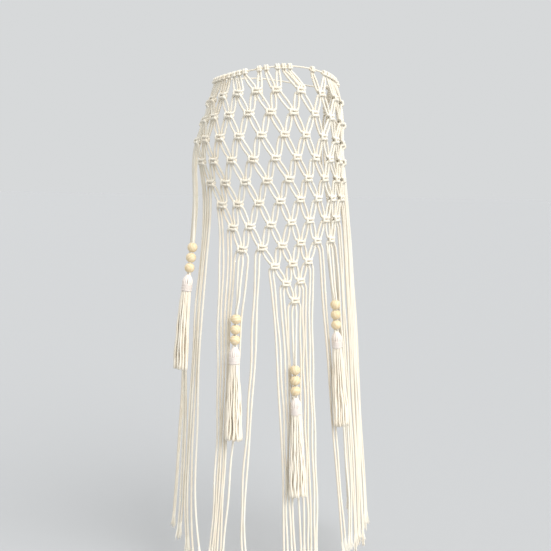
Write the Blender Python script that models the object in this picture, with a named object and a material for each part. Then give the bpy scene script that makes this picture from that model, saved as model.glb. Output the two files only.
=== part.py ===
"""Waist sash of knotted cotton cord, in the hollow form that it takes when it is worn.

An open diamond net of square knots hangs from a thin waist cord that is tied at the back. A long
fringe falls from the net's stepped lower edge, and four drops, each of three wooden beads and a
tassel, hang from it too.

Metres. +Z is up, the front faces -Y and the wearer's left is +X. The origin is the middle of the
waist, level with the front of the waist cord.
"""
import math

import bmesh
import bpy
import numpy as np

# Cords
CORD = 0.0040               # cotton cord of the net and the fringe
CORD_HALF = 0.0019          # half the side of the square bar that stands for it
WAIST_CORD = 0.0034
SEAM = 0.0003               # gap between neighbouring solids
LIFT = 0.0030               # how far the cords' middles stand off the hollow form

# Net
KNOT_HEIGHT = 0.0140
KNOT_EDGES = (-0.0092, -0.0046, 0.0, 0.0046, 0.0092)    # across a knot, between its four cords
KNOT_BULGE = 1.06           # a knot's width at its middle over its width at its ends
KNOT_THICK = 0.0088
KNOT_SIDES = 0.72           # a knot's thickness at its two sides over that between them
PARTED = 0.8                # width of a cord's end where the net's two halves meet
PARTED_BACK = 0.00045       # how far that end is drawn back
SAG_COLUMN = 5.0            # column at which a row hangs lower by its sag
ROW_WAVE = 0.002            # how far the rows rise and fall on their way across the hips
WAVE_CREST = 1.0            # column of that wave's crest
WAVE_LENGTH = 6.5           # its length in columns
DRAWN_ROWS = (4, 5, 6, 7)   # rows whose outermost knots have no cords that pull them outwards
EDGE_DRAW = 0.006           # how far those knots are drawn in
WAIST_DIP = 0.021           # how far the waist cord drops at the sides
WAIST_STATIONS = 57
WAIST_SIDES = 6

# Lark's heads
HEAD_WIDTH = 0.0092
HEAD_HOLE = 0.0021          # half the hole round the waist cord
HEAD_RINGS = (              # the outline's corners, then the hole's, of each face at a head's end
    ((0, 1), (1, 0)),
    ((1, 2), (1,)),
    ((2,), (2, 1)),
    ((2, 3), (2,)),
    ((3, 4), (3, 2)),
    ((4, 5), (3,)),
    ((5,), (0, 3)),
    ((5, 0), (0,)),
)
HEAD_SECTION = (            # out from the form, up: the outline across the waist cord
    (-0.0020, -0.0064),
    (0.0022, -0.0064),
    (0.0048, -0.0005),
    (0.0028, 0.0046),
    (-0.0026, 0.0046),
    (-0.0040, -0.0005),
)

# Fringe
ROOT_HEIGHT = 0.0030
ROOT_INSET = 0.0010         # how far a root bar keeps clear of the net's pair beside it
BRUSH = 0.035               # frayed end of a strand
BRUSH_SWELL = 1.35
FALLS = (0.015, 0.18, 0.38, 0.60, 0.80)     # stations down a strand, as shares of its fall
ROOT_PUSH = 0.0042          # how far a strand swings clear of the net just under its knot
SECOND_STRAND = 0.006       # how much shorter the second strand of a pair is
PAIR_TURN = 1.5             # degrees between the two strands of a pair
DRIFT_POWER = 0.9           # under 1, so that a strand drifts round the form early in its fall
UPPER_POWER = 0.6           # under 1, so that the upper bow is widest at a third of the fall
LOWER_POWER = 2.4           # over 1, so that the lower bow is widest at three quarters of it
FAN_POWER = 3.0             # over 1, so that a pair fans out only near the hem

# Drops
BEAD = 0.0200
BEAD_HOLE = 0.0088
BEAD_CORD_HALF = 0.0015
BEAD_SIDES = 9
BEAD_RINGS = 6
BEAD_ENTRY = 0.004          # straight stretch of the cords above the first bead
DROP_STATIONS = (           # share of the way from the knot to the first bead, half the way apart
    (0.25, 0.00255),
    (0.70, 0.00210),
)
DROP_LIFT = 0.0165          # how far the first bead's middle stands off the form
DROP_LEAN = 0.0035          # how much further the end of the skirt stands off
HEAD_LENGTH = 0.036
TASSEL_SIDES = 14
TASSEL_FLAT = 0.68          # depth over width of a tassel's skirt
TASSEL_END = 0.0185         # half the width of the skirt's end
TASSEL_TUFT = 0.95          # a skirt strand's width below its root over its width there
TASSEL_RAGGED = 0.004       # how unevenly the skirt's strands are cut
RAGGED_STEP = 2.4           # angle in the sine of that unevenness from one strand to the next
TASSEL_CORE = 0.56          # radius of the inner strands over the skirt's at its root
TASSEL_PROFILE = (          # down from the head's top, radius
    (0.000, 0.0052),
    (0.008, 0.0088),
    (0.017, 0.0106),
    (0.026, 0.0102),
    (0.036, 0.0108),
)
SKIRT_STATIONS = (          # share of the skirt's length, share of its opening, share of the unevenness
    (0.45, 0.62, 0.0),
    (1.00, 1.00, 1.0),
)

# Tie at the back
TIE = (0.016, 0.0095, 0.011)    # across, deep, high
TIE_TAIL = 0.042
TIE_SECTIONS = (            # level over the tie's height, width over its own
    (0.5, 0.7),
    (0.0, 1.0),
    (-0.5, 0.8),
)
TAIL_STATIONS = (           # share of a tail's length, how far it leans out from the middle
    (0.3, 0.006),
    (1.0, 0.010),
)

# Hollow form: depth below the waist, half width, half depth, set-back, shift to the left
FORM = (
    (0.000, 0.115, 0.105, 0.000, 0.000),
    (0.080, 0.135, 0.125, 0.005, 0.000),
    (0.160, 0.150, 0.150, 0.025, -0.005),
    (0.260, 0.160, 0.145, 0.035, 0.005),
    (0.480, 0.185, 0.135, 0.030, 0.005),
    (0.720, 0.200, 0.150, 0.030, 0.010),
    (1.000, 0.220, 0.180, 0.030, 0.015),
)

# Net's lay: row, depth of its middle knot, column pitch to the wearer's right and to the left, drift
# to the left, climb per column, sag of the sides, and half the way between the two cords of a pair
# that ends in this row
NET = (
    (1, 0.048, 0.037, 0.046, -0.038, 0.0005, 0.017, 0.0040),
    (2.5, 0.110, 0.042, 0.043, -0.025, 0.0000, 0.013, 0.0041),
    (4, 0.174, 0.042, 0.040, -0.015, 0.0010, 0.007, 0.0042),
    (6, 0.255, 0.040, 0.039, -0.010, 0.0025, 0.003, 0.0040),
    (8, 0.340, 0.038, 0.036, -0.006, 0.0035, 0.001, 0.0038),
    (11, 0.451, 0.025, 0.024, 0.005, 0.0025, 0.000, 0.0010),
)

# Rows of knots: row, outermost column
ROWS = (
    (1, 6.0),
    (2, 5.5),
    (3, 5.0),
    (4, 4.5),
    (5, 4.0),
    (6, 3.5),
    (7, 3.0),
    (8, 2.5),
    (9, 1.0),
    (10, 0.5),
    (11, 0.0),
)

# Lark's heads: column, and the places along the waist cord of its two heads
HEADS = (
    (-6, -0.2210, -0.2090),
    (-5, -0.1890, -0.1760),
    (-4, -0.1630, -0.1520),
    (-3, -0.1400, -0.1270),
    (-2, -0.1150, -0.1045),
    (-1, -0.0930, -0.0665),
    (0, -0.0535, -0.0330),
    (1, -0.0215, -0.0100),
    (2, 0.0370, 0.0680),
    (3, 0.0790, 0.0890),
    (4, 0.0990, 0.1110),
    (5, 0.1330, 0.1450),
    (6, 0.1780, 0.1900),
)

# Fringe: row and column of its edge knot, hem angle from the front, bow in the upper half of the
# fall, bow in the lower half and how far its two strands fan out at the hem, all in degrees, then
# the hem's height
FRINGE = (
    (1, -6.0, -120.0, 0.0, 0.0, 0.5, -0.985),
    (2, -5.5, -74.5, 12.0, 3.0, 1.8, -0.955),
    (4, -4.5, -64.0, 8.0, -5.2, 0.6, -0.975),
    (5, -4.0, -56.0, 2.0, -5.0, 3.6, -0.990),
    (6, -3.5, -47.8, 7.5, 1.0, 0.0, -0.980),
    (7, -3.0, -44.6, 5.0, 0.0, 0.0, -0.992),
    (8, -2.5, -41.4, 2.0, 0.0, 0.0, -0.985),
    (8, -1.5, -27.4, 3.0, -3.2, 0.0, -0.985),
    (9, -1.0, -6.4, 4.2, 0.3, 0.0, -0.985),
    (10, -0.5, -1.2, 2.4, -1.3, 0.3, -0.990),
    (11, 0.0, 3.4, 0.0, 0.0, 0.0, -0.980),
    (10, 0.5, 6.8, 0.6, 0.4, 0.0, -0.985),
    (9, 1.0, 9.8, 0.5, 1.2, 0.0, -0.990),
    (8, 1.5, 30.6, 1.8, 0.0, 0.8, -0.985),
    (8, 2.5, 35.2, 4.5, 3.0, 0.5, -0.980),
    (7, 3.0, 40.6, 3.2, 2.2, 0.6, -0.985),
    (6, 3.5, 46.0, 2.8, 1.8, 0.4, -0.975),
    (5, 4.0, 51.6, 2.2, 1.2, 0.5, -0.985),
    (4, 4.5, 60.0, 0.7, 0.4, 1.2, -0.960),
    (3, 5.0, 75.0, 0.4, 0.2, 0.8, -0.970),
    (2, 5.5, 91.0, 0.0, 0.0, 0.5, -0.955),
    (1, 6.0, 106.0, 0.0, 0.0, 0.3, -0.980),
)

# Drops: name, row and column of its knot, angle from the front and height of the first bead's
# middle, angle and height of the skirt's end
DROPS = (
    ("right_side", 3, -5.0, -73.0, -0.352, -72.5, -0.592),
    ("right_front", 8, -2.5, -33.1, -0.485, -33.6, -0.718),
    ("centre", 11, 0.0, 0.4, -0.585, -0.2, -0.830),
    ("left_front", 8, 2.5, 28.3, -0.461, 28.4, -0.703),
)

# Finishes: name, colour in linear light, roughness
CORD_COTTON = ("cord_cotton", (0.82, 0.76, 0.65, 1.0), 0.92)
TASSEL_COTTON = ("tassel_cotton", (0.83, 0.74, 0.65, 1.0), 0.92)
BEAD_WOOD = ("bead_wood", (0.80, 0.60, 0.36, 1.0), 0.55)


def read(table, at, column):
    """Value of a table's column, on a smooth curve through its rows."""
    rows = np.array(table)
    stations, values = rows[:, 0], rows[:, column]
    slopes = np.gradient(values, stations)
    at = min(max(at, stations[0]), stations[-1])
    k = min(int(np.searchsorted(stations, at, side="right")) - 1, len(stations) - 2)
    span = stations[k + 1] - stations[k]
    t = (at - stations[k]) / span
    rise = (2 * t ** 3 - 3 * t ** 2 + 1) * values[k] + (3 * t ** 2 - 2 * t ** 3) * values[k + 1]
    bend = (t ** 3 - 2 * t ** 2 + t) * slopes[k] + (t ** 3 - t ** 2) * slopes[k + 1]
    return rise + span * bend


def section(height):
    """Half width, half depth, set-back and shift of the hollow form's ellipse at a height."""
    return [read(FORM, -height, column) for column in (1, 2, 3, 4)]


def on_form(angle, height, lift=LIFT):
    """Point that stands off the form, at an angle round from the front."""
    half_width, half_depth, back, shift = section(height)
    return np.array((
        shift + (half_width + lift) * math.sin(angle),
        back - (half_depth + lift) * math.cos(angle),
        height,
    ))


def angle_at(run, height):
    """Angle at a length along the form's section, counted from the front."""
    half_width, half_depth, _, _ = section(height)
    angles = np.linspace(-math.pi, math.pi, 721)
    steps = np.hypot(np.diff(half_width * np.sin(angles)), np.diff(half_depth * np.cos(angles)))
    lengths = np.concatenate(([0.0], np.cumsum(steps)))
    return float(np.interp(run, lengths - lengths[360], angles))


def unit(vector):
    return vector / np.linalg.norm(vector)


def frame_at(angle, height, lift=LIFT):
    """Point off the form with its directions across, up and out."""
    step = 1e-4
    point = on_form(angle, height, lift)
    across = unit(on_form(angle + step, height, lift) - point)
    up = on_form(angle, height + step, lift) - point
    up = unit(up - across * np.dot(up, across))
    return point, across, up, np.cross(across, up)


def near_form(point, lift=LIFT):
    """Angle of a point round the form."""
    half_width, half_depth, back, shift = section(point[2])
    return math.atan2((point[0] - shift) / (half_width + lift), (back - point[1]) / (half_depth + lift))


def knot_lay(row, column):
    """Angle and height of a knot's middle."""
    depth, right_pitch, left_pitch, drift, climb, sag = [read(NET, row, k) for k in range(1, 7)]
    run = drift + column * (right_pitch if column < 0 else left_pitch)
    if row in DRAWN_ROWS and abs(column) == dict(ROWS)[row]:
        run -= math.copysign(EDGE_DRAW, column)
    wave = ROW_WAVE * math.cos(math.tau * (column - WAVE_CREST) / WAVE_LENGTH)
    height = -depth + climb * column - sag * (column / SAG_COLUMN) ** 2 + wave
    return angle_at(run, height), height


def waist_height(angle):
    """Height of the waist cord, which dips at the sides."""
    return -WAIST_DIP * math.sin(angle) ** 2


def material_of(name, colour, roughness):
    """Material of a finish, made once."""
    material = bpy.data.materials.get(name)
    if material is None:
        material = bpy.data.materials.new(name)
        material.use_nodes = True
        shader = material.node_tree.nodes["Principled BSDF"]
        shader.inputs["Base Color"].default_value = colour
        shader.inputs["Roughness"].default_value = roughness
        shader.inputs["Metallic"].default_value = 0.0
    return material


class Solid:
    """Rings of points joined by faces, gathered into one closed body."""

    def __init__(self):
        self.mesh = bmesh.new()

    def ring(self, points):
        return [self.mesh.verts.new(point) for point in points]

    def face(self, corners):
        self.mesh.faces.new(corners)

    def bridge(self, ring, other):
        """Quads between two closed rings with the same number of points."""
        for k in range(len(ring)):
            after = (k + 1) % len(ring)
            self.face((ring[k], ring[after], other[after], other[k]))

    def tube(self, rings):
        """Bridges each ring to the next and gives the last one."""
        for ring, other in zip(rings, rings[1:]):
            self.bridge(ring, other)
        return rings[-1]

    def finish(self, name, finish, smooth=False):
        """Object of the body, with its faces turned out and its material."""
        bmesh.ops.recalc_face_normals(self.mesh, faces=self.mesh.faces)
        mesh = bpy.data.meshes.new(name)
        self.mesh.to_mesh(mesh)
        self.mesh.free()
        if smooth:
            mesh.shade_smooth()
            mesh.set_sharp_from_angle(angle=math.radians(50))
        thing = bpy.data.objects.new(name, mesh)
        mesh.materials.append(material_of(*finish))
        bpy.context.collection.objects.link(thing)
        return thing


def square(centre, across, out, half):
    """Four corners of a cord's square section."""
    return [centre + across * a + out * b for a, b in
            ((-half, -half), (half, -half), (half, half), (-half, half))]


def knot_block(solid, row, column):
    """Square knot as a barrel with four cells at each end; gives its top and bottom cells."""
    angle, height = knot_lay(row, column)
    point, across, up, out = frame_at(angle, height)
    rings = []
    for level, bulge, thick in ((0.5, 1.0, CORD), (0.0, KNOT_BULGE, KNOT_THICK), (-0.5, 1.0, CORD)):
        corners = []
        for side, edges in ((-0.5, KNOT_EDGES), (0.5, KNOT_EDGES[::-1])):
            for edge in edges:
                end = KNOT_SIDES if abs(edge) == KNOT_EDGES[-1] else 1.0
                corners.append(point + up * KNOT_HEIGHT * level + across * edge * bulge
                               + out * side * thick * end)
        rings.append(solid.ring(corners))
    solid.tube(rings)
    last = 2 * len(KNOT_EDGES) - 1
    return [[(ring[k], ring[k + 1], ring[last - k - 1], ring[last - k]) for k in range(4)]
            for ring in (rings[0], rings[-1])]


def larks_head(solid, run):
    """Lark's head with a square hole round the waist cord; gives the two cells under it."""
    angle = angle_at(run, 0.0)
    point, across, up, out = waist_frame(angle)
    outers, inners = [], []
    for end in (-0.5, 0.0, 0.5):
        middle = point + across * HEAD_WIDTH * end
        outers.append(solid.ring([middle + out * a + up * b for a, b in HEAD_SECTION]))
        if end:
            inners.append(solid.ring([middle + out * a * HEAD_HOLE + up * b * HEAD_HOLE
                                      for a, b in ((-1, -1), (1, -1), (1, 1), (-1, 1))]))
    solid.bridge(*inners)
    for outer, inner in ((outers[0], inners[0]), (outers[2], inners[1])):
        for outline, hole in HEAD_RINGS:
            solid.face([outer[k] for k in outline] + [inner[k] for k in hole])
    for outer, other in zip(outers, outers[1:]):
        for k in range(1, len(HEAD_SECTION)):
            after = (k + 1) % len(HEAD_SECTION)
            solid.face((outer[k], outer[after], other[after], other[k]))
    return [(outer[0], other[0], other[1], outer[1]) for outer, other in zip(outers, outers[1:])]


def waist_frame(angle):
    """Point on the waist cord's middle with its directions along, up and out."""
    step = 1e-3
    point = on_form(angle, waist_height(angle))
    along = unit(on_form(angle + step, waist_height(angle + step)) - point)
    out = frame_at(angle, waist_height(angle))[3]
    out = unit(out - along * np.dot(out, along))
    return point, along, np.cross(out, along), out


def middle_of(cell):
    return np.mean([np.array(corner.co) for corner in cell], axis=0)


def net_cord(solid, upper, lower, spread, part_at=None):
    """Cord of a pair between two cells; its upper or lower end may be parted from its knot."""
    start, end = middle_of(upper), middle_of(lower)
    along = unit(end - start)
    angle = near_form((start + end) / 2)
    middle, _, _, out = frame_at(angle, (start[2] + end[2]) / 2)
    across = unit(np.cross(out, along))
    belly = solid.ring(square(middle + across * spread, across, out, CORD_HALF))
    ends = {"upper": upper, "lower": lower}
    if part_at:
        way = along if part_at == "upper" else -along
        core = middle_of(ends[part_at])
        parted = solid.ring([core + (np.array(corner.co) - core) * PARTED + way * PARTED_BACK
                             for corner in ends[part_at]])
        solid.face(parted)
        ends[part_at] = parted
    solid.tube([ends["upper"], belly, ends["lower"]])


def in_half(side, column):
    """Whether a column's knots are in the half on that side; the middle one's are in the right half."""
    return (column <= 0) == (side < 0)


def net_half(side):
    """Half of the net. The cords that run between the halves are in the wearer's left one."""
    solid = Solid()
    other_half = Solid()
    tops, bottoms = {}, {}
    for row, outermost in ROWS:
        for column in np.arange(-outermost, outermost + 1):
            target = solid if in_half(side, column) else other_half
            key = (row, float(column))
            tops[key], bottoms[key] = knot_block(target, row, column)
    for column, first, second in HEADS:
        target = solid if in_half(side, column) else other_half
        bottoms[(0, float(column))] = larks_head(target, first) + larks_head(target, second)
    used = set()
    for (row, column), cells in tops.items():
        for way in (-1, 1):
            above = (row - 1, column + way / 2) if row > 1 else (0, column)
            own_below, own_above = in_half(side, column), in_half(side, above[1])
            if above not in bottoms or not (own_below or own_above):
                continue
            if side < 0 and not (own_below and own_above):
                continue
            part_at = None if own_below and own_above else ("lower" if own_above else "upper")
            first_below = 0 if way < 0 else 2
            first_above = first_below if row == 1 else 2 - first_below
            for k in (0, 1):
                upper, lower = bottoms[above][first_above + k], cells[first_below + k]
                net_cord(solid, upper, lower, read(NET, row, 7) * (2 * k - 1), part_at)
                if own_above:
                    used.add(("bottom", above, first_above + k))
                if own_below:
                    used.add(("top", (row, column), first_below + k))
    for where, cells_of in (("top", tops), ("bottom", bottoms)):
        for key, cells in cells_of.items():
            for k, cell in enumerate(cells):
                if in_half(side, key[1]) and (where, key, k) not in used:
                    solid.face(cell)
    other_half.mesh.free()
    return solid


def waist_cord():
    """Waist cord from one side of the tie at the back round to the other."""
    solid = Solid()
    stop = math.pi - (TIE[0] / 2 + SEAM) / section(0.0)[0]
    rings = []
    for angle in np.linspace(-stop, stop, WAIST_STATIONS):
        point, _, up, out = waist_frame(angle)
        turns = np.arange(WAIST_SIDES) * math.tau / WAIST_SIDES
        rings.append(solid.ring([point + (up * math.sin(t) + out * math.cos(t)) * WAIST_CORD / 2
                                 for t in turns]))
    solid.face(rings[0])
    solid.face(solid.tube(rings))
    return solid


def tie_knot():
    """Tie of the waist cord's two ends, with its short tails."""
    solid = Solid()
    point, across, up, out = waist_frame(math.pi)
    rings = []
    for level, wide in TIE_SECTIONS:
        corners = [point + up * TIE[2] * level + across * TIE[0] / 2 * wide * a + out * TIE[1] / 2 * wide * b
                   for a, b in ((-1, -1), (0, -1), (1, -1), (1, 1), (0, 1), (-1, 1))]
        rings.append(solid.ring(corners))
    solid.face(rings[0])
    last = solid.tube(rings)
    for way, cell in ((-1, (0, 1, 4, 5)), (1, (1, 2, 3, 4))):
        ring = [last[k] for k in cell]
        for fall, lean in TAIL_STATIONS:
            centre = point - up * (TIE[2] / 2 + TIE_TAIL * fall) + across * way * lean
            below = solid.ring(square(centre, across, out, WAIST_CORD / 2))
            solid.bridge(ring, below)
            ring = below
        solid.face(ring)
    return solid


def root_bar(solid, row, column, first, count):
    """Narrow bar just under an edge knot's free cords; gives the cells under it."""
    angle, height = knot_lay(row, column)
    point, across, up, out = frame_at(angle, height)
    edges = list(KNOT_EDGES[first:first + count + 1])
    edges[0] += ROOT_INSET if first else 0.0
    edges[-1] -= ROOT_INSET if first + count < 4 else 0.0
    rings = []
    for level in (0.0, 1.0):
        drop = KNOT_HEIGHT / 2 + SEAM + ROOT_HEIGHT * level
        corners = [point - up * drop + across * edge + out * CORD / 2 * side
                   for side, ordered in ((-1, edges), (1, edges[::-1])) for edge in ordered]
        rings.append(solid.ring(corners))
    solid.face(rings[0])
    lower = solid.tube(rings)
    last = len(lower) - 1
    return [(lower[k], lower[k + 1], lower[last - k - 1], lower[last - k]) for k in range(count)]


def long_strand(solid, cell, lay, order, way):
    """Fringe strand that drifts and bows round the form as it falls, from its root bar to its brush."""
    _, _, hem_angle, upper, lower, fan, hem_height = lay
    start = middle_of(cell)
    start_angle, start_height = near_form(start), start[2]
    fall = start_height - hem_height - SECOND_STRAND * order
    side = order - 0.5
    drift = math.radians(hem_angle + side * PAIR_TURN) - start_angle
    ring = cell
    for t in FALLS + (1 - BRUSH / fall, 1.0):
        bow = upper * math.sin(math.pi * t ** UPPER_POWER) + lower * math.sin(math.pi * t ** LOWER_POWER)
        turn = math.radians(bow + side * fan * t ** FAN_POWER)
        angle = start_angle + drift * t ** DRIFT_POWER + turn
        point, across, _, out = frame_at(angle, start_height - fall * t)
        swell = BRUSH_SWELL if t == 1.0 else 1.0
        middle = point + across * way * ROOT_PUSH * (1 - t)
        below = solid.ring(square(middle, across, out, CORD_HALF * swell))
        solid.bridge(ring, below)
        ring = below
    solid.face(ring)


def drop_frame(drop, down):
    """Point on a drop's axis, a length below its first bead's middle, with its directions."""
    _, _, _, angle, first, end_angle, end_height = drop
    t = down / (first - end_height)
    turn = math.radians(angle + (end_angle - angle) * t)
    return frame_at(turn, first - down, DROP_LIFT + DROP_LEAN * t)


def drop_cord(solid, cell, drop, side):
    """Cord from an edge knot down through the three beads to the tassel's head."""
    start = middle_of(cell)
    ring = cell
    top = drop_frame(drop, -BEAD / 2 - BEAD_ENTRY)[0]
    for t, apart in DROP_STATIONS:
        angle = near_form(start * (1 - t) + top * t)
        height = start[2] * (1 - t) + top[2] * t
        point, across, _, out = frame_at(angle, height, LIFT + (DROP_LIFT - LIFT) * t)
        below = solid.ring(square(point + across * side * apart, across, out, CORD_HALF))
        solid.bridge(ring, below)
        ring = below
    beside = BEAD_CORD_HALF + SEAM / 2
    for down in (-BEAD / 2 - BEAD_ENTRY, BEAD + SEAM, 2 * (BEAD + SEAM) + BEAD / 2):
        point, across, _, out = drop_frame(drop, down)
        below = solid.ring(square(point + across * side * beside, across, out, BEAD_CORD_HALF))
        solid.bridge(ring, below)
        ring = below
    solid.face(ring)


def fringe_node(row, column):
    """Root bar under an edge knot with its long strands and the cords of its drop."""
    solid = Solid()
    lays = [lay for lay in FRINGE if lay[:2] == (row, column)]
    drops = [drop for drop in DROPS if drop[1:3] == (row, column)]
    both = (row, column) in ((8, -2.5), (8, 2.5), (11, 0.0))
    first = 0 if both or column < 0 else 2
    cells = root_bar(solid, row, column, first, 4 if both else 2)
    if drops:
        pair = (cells[1], cells[2]) if both else cells
        for cell, side in zip(pair, (-1, 1)):
            drop_cord(solid, cell, drops[0], side)
    if lays:
        for order, cell in enumerate((cells[0], cells[-1])):
            way = 2 * order - 1 if both else math.copysign(1, column)
            long_strand(solid, cell, lays[0], order, way)
    return solid


def bead(drop, order):
    """Turned bead with its hole along the drop."""
    solid = Solid()
    down = order * (BEAD + SEAM)
    point, across, _, _ = drop_frame(drop, down)
    up = unit(drop_frame(drop, down - BEAD / 2)[0] - drop_frame(drop, down + BEAD / 2)[0])
    out = unit(np.cross(across, up))
    across = np.cross(up, out)
    hole, ball = BEAD_HOLE / 2, BEAD / 2
    rim = math.acos(hole / ball)
    profile = [(ball * math.cos(t), ball * math.sin(t)) for t in np.linspace(-rim, rim, BEAD_RINGS)]
    rings = []
    for radius, rise in profile:
        turns = [math.tau * k / BEAD_SIDES for k in range(BEAD_SIDES)]
        rings.append(solid.ring([point + up * rise + (across * math.cos(t) + out * math.sin(t)) * radius
                                 for t in turns]))
    solid.tube(rings)
    solid.bridge(rings[-1], rings[0])
    return solid


def tassel(drop):
    """Tassel: a bound head whose underside carries a full skirt of strands."""
    solid = Solid()
    top = 2 * (BEAD + SEAM) + BEAD / 2 + SEAM
    sides = TASSEL_SIDES
    rings = []
    for down, radius in TASSEL_PROFILE:
        point, across, _, out = drop_frame(drop, top + down)
        turns = [math.tau * k / sides for k in range(sides)]
        rings.append(solid.ring([point + (across * math.cos(t) + out * math.sin(t)) * radius for t in turns]))
    solid.face(rings[0])
    rim = solid.tube(rings)
    base, across, _, out = drop_frame(drop, top + HEAD_LENGTH)
    radius = TASSEL_PROFILE[-1][1]
    inner = solid.ring([base + (across * math.cos(t) + out * math.sin(t)) * radius * TASSEL_CORE
                        for t in (math.tau * k / (sides // 2) for k in range(sides // 2))])
    heart = solid.ring([base])[0]
    cells = []
    for k in range(sides // 2):
        here, after = inner[k], inner[(k + 1) % (sides // 2)]
        cells.append((rim[2 * k - 1], rim[2 * k], here))
        cells.append((rim[2 * k], rim[2 * k + 1], here))
        cells.append((rim[2 * k + 1], after, here))
        cells.append((here, after, heart))
    length = drop[4] - drop[6] - top - HEAD_LENGTH
    for order, cell in enumerate(cells):
        skirt_strand(solid, drop, top + HEAD_LENGTH, length, cell, order)
    return solid


def skirt_strand(solid, drop, start, length, cell, order):
    """Three-sided strand of a tassel's skirt, which leans out as it falls."""
    base, across, _, out = drop_frame(drop, start)
    offsets = [np.array(corner.co) - base for corner in cell]
    middle = np.mean(offsets, axis=0)
    flare = TASSEL_END / TASSEL_PROFILE[-1][1] - 1
    ring = list(cell)
    for fall, opened, ragged in SKIRT_STATIONS:
        down = start + length * fall + ragged * TASSEL_RAGGED * math.sin(RAGGED_STEP * order)
        point, across_here, _, out_here = drop_frame(drop, down)
        place = middle * (1 + flare * opened)
        corners = []
        for offset in offsets:
            corner = place + (offset - middle) * TASSEL_TUFT
            depth = np.dot(corner, out) * (1 + (TASSEL_FLAT - 1) * opened)
            corners.append(point + across_here * np.dot(corner, across) + out_here * depth)
        below = solid.ring(corners)
        solid.bridge(ring, below)
        ring = below
    solid.face(ring)


def clear_scene():
    for thing in list(bpy.data.objects):
        bpy.data.objects.remove(thing, do_unlink=True)


def fringe_name(row, column):
    side = "right" if column < 0 else "left"
    if row == 11:
        return "fringe_point"
    where = "_point" if abs(column) == 2.5 else ""
    return f"fringe_{side}_row{row}{where}"


def main():
    clear_scene()
    waist_cord().finish("waist_cord", CORD_COTTON, smooth=True)
    tie_knot().finish("tie_knot", CORD_COTTON)
    net_half(-1).finish("net_right", CORD_COTTON)
    net_half(1).finish("net_left", CORD_COTTON)
    edge = [(row, side * outermost) for row, outermost in ROWS for side in (-1, 1)]
    edge += [(8, -1.5), (8, 1.5)]
    for row, column in sorted(set(edge)):
        fringe_node(row, column).finish(fringe_name(row, column), CORD_COTTON)
    for drop in DROPS:
        for order in range(3):
            bead(drop, order).finish(f"bead_{drop[0]}_{order + 1}", BEAD_WOOD, smooth=True)
        tassel(drop).finish(f"tassel_{drop[0]}", TASSEL_COTTON)


main()
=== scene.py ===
"""Looks of the knotted cotton waist sash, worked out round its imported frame.

Every cord is followed from its lark's head on the waist cord, through its square knots, to the
frayed end of its fringe strand or into a tassel, so that the net is really knotted. Local sizes of
the knots are in millimetres, all else is in metres.
"""

import math

import bpy
import numpy as np
from mathutils import Matrix


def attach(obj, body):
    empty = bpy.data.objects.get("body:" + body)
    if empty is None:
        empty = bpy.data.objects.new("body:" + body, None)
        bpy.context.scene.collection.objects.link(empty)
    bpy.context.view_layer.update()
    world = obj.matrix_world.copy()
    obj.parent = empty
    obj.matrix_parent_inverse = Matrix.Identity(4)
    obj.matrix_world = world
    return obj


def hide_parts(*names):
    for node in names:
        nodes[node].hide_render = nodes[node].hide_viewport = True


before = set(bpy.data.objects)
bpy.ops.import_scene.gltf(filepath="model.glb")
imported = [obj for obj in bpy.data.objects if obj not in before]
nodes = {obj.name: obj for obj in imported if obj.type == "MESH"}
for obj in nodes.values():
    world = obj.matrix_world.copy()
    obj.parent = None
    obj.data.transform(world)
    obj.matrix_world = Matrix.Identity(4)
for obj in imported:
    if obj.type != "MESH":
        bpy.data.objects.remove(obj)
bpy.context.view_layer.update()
MM = 0.001
rng = np.random.default_rng(17)

# Cords
CORD_RADIUS = 0.0024
WAIST_RADIUS = 0.0017
PLIES = 4                   # yarns laid round each other in the cord
LAY = 0.0165                # length in which a yarn goes once round
GROOVE = 0.85               # radius between two yarns over the radius at a yarn's crest
STATION = 0.00155           # between two rings of a cord
LIFT = 0.0030               # how far the cords' middles stand off the hollow form
THREAD_SIDES = 6            # of a thread, a frayed yarn and a tassel's strand
THREAD_SWELL = 1.9          # radians of its swelling from one ring to the next
PLAIN_TONE = 0.5            # tone of a cord whose shade isn't shifted
UV_LENGTH = 100             # the UV maps' lengths are in centimetres
START_PHASE = 6             # radians within which a waver starts at random
ASKEW = (0.31, 0.87, 0.38)  # a direction that no cord starts along
TINY = 1e-18                # smallest squared length that is divided by
SECTION_POINTS = 721        # round a section of the form, with the middle one at the front

# Net, repeated from the frame
SAG_COLUMN = 5.0            # column at which a row hangs lower by its sag
ROW_WAVE = 0.002            # how far the rows rise and fall on their way round the form
WAVE_CREST = 1.0            # column of that wave's crest
WAVE_LENGTH = 6.5           # its length in columns
DRAWN_ROWS = (4, 5, 6, 7)   # rows whose outermost knots have no cords that pull them outwards
EDGE_DRAW = 0.006           # how far those knots are drawn in
WAIST_DIP = 0.021           # how far the waist cord drops at the sides
PAIR_BOW = 0.0009           # how far a pair's cords bow apart between two knots
KNOT_TILT = 5.0             # degrees that a knot may be turned in the net
KNOT_SIZES = (1.02, 1.12)   # least and greatest size of a knot over the local sizes below
KNOT_SWELL = 0.36           # how much fuller a cord is in the middle of a knot
KNOT_REACH = 0.0075         # how far from there it swells

# Hollow form: depth below the waist, half width, half depth, set-back, shift to the left
FORM = (
    (0.000, 0.115, 0.105, 0.000, 0.000),
    (0.080, 0.135, 0.125, 0.005, 0.000),
    (0.160, 0.150, 0.150, 0.025, -0.005),
    (0.260, 0.160, 0.145, 0.035, 0.005),
    (0.480, 0.185, 0.135, 0.030, 0.005),
    (0.720, 0.200, 0.150, 0.030, 0.010),
    (1.000, 0.220, 0.180, 0.030, 0.015),
)

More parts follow.
